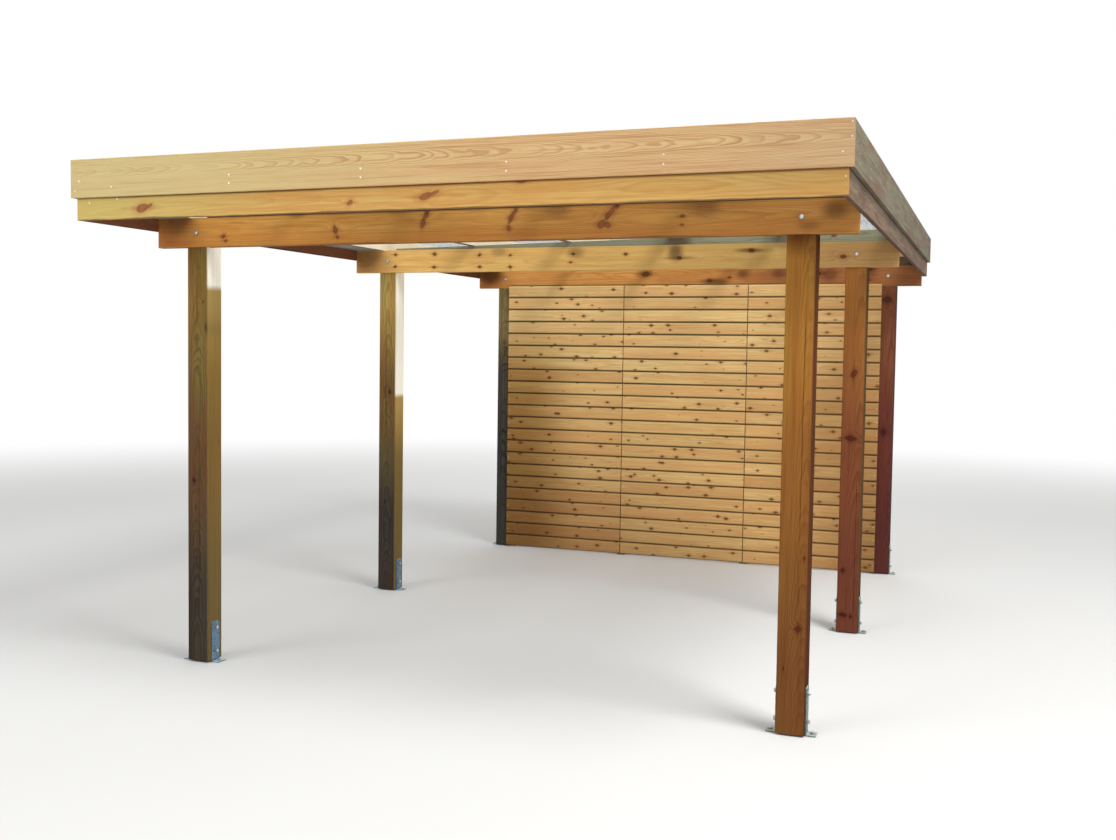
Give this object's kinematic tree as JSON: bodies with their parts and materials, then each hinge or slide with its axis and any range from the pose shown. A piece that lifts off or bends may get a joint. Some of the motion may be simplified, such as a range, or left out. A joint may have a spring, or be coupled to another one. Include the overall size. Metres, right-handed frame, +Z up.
{
  "type": "carport",
  "caption": "Free-standing timber carport on square posts, with bolted cross beams, a boarded back wall and a low-fall roof of clear profiled sheets behind a stepped fascia.",
  "frame": {"origin": "on the ground at the centre of the roof's outline", "axes": "+X to the right seen from the open front, +Y towards the boarded back wall, +Z up"},
  "size_m": [3.52, 5, 2.46],
  "materials": {
    "post_timber": "brown stained square timber",
    "beam_timber": "golden brown planed timber",
    "roof_timber": "plain grey-green treated timber",
    "fascia_upper_timber": "light honey boards with bold grain",
    "fascia_lower_timber": "golden boards with knots",
    "wall_boards": "level tongue and groove boards with many knots",
    "galvanised_steel": "hot dip galvanised",
    "clear_sheet": "translucent profiled sheet",
    "gutter_plastic": "dark brown"
  },
  "bodies": {
    "root": {"post_front_left": "post_timber", "bracket_front_left": "galvanised_steel", "post_front_right": "post_timber", "bracket_front_right": "galvanised_steel", "post_middle_left": "post_timber", "bracket_middle_left": "galvanised_steel", "post_middle_right": "post_timber", "bracket_middle_right": "galvanised_steel", "post_rear_left": "post_timber", "bracket_rear_left": "galvanised_steel", "post_rear_right": "post_timber", "bracket_rear_right": "galvanised_steel", "beam_front": "beam_timber", "firring_front": "roof_timber", "beam_middle": "beam_timber", "firring_middle": "roof_timber", "beam_rear": "beam_timber", "firring_rear": "roof_timber", "purlin_1": "roof_timber", "purlin_2": "roof_timber", "purlin_3": "roof_timber", "purlin_4": "roof_timber", "purlin_5": "roof_timber", "purlin_6": "roof_timber", "fascia_upper_front": "fascia_upper_timber", "fascia_upper_rear": "fascia_upper_timber", "fascia_upper_left": "fascia_upper_timber", "fascia_upper_right": "fascia_upper_timber", "fascia_lower_front": "fascia_lower_timber", "fascia_lower_rear": "fascia_lower_timber", "fascia_lower_left": "fascia_lower_timber", "fascia_lower_right": "fascia_lower_timber", "roof_sheet_1": "clear_sheet", "roof_sheet_2": "clear_sheet", "roof_sheet_3": "clear_sheet", "roof_sheet_4": "clear_sheet", "roof_sheet_5": "clear_sheet", "gutter": "gutter_plastic", "wall_panel_left": "wall_boards", "wall_panel_middle": "wall_boards", "wall_panel_right": "wall_boards", "wall_stud_left": "roof_timber", "wall_stud_right": "roof_timber"}
  },
  "joints": []
}
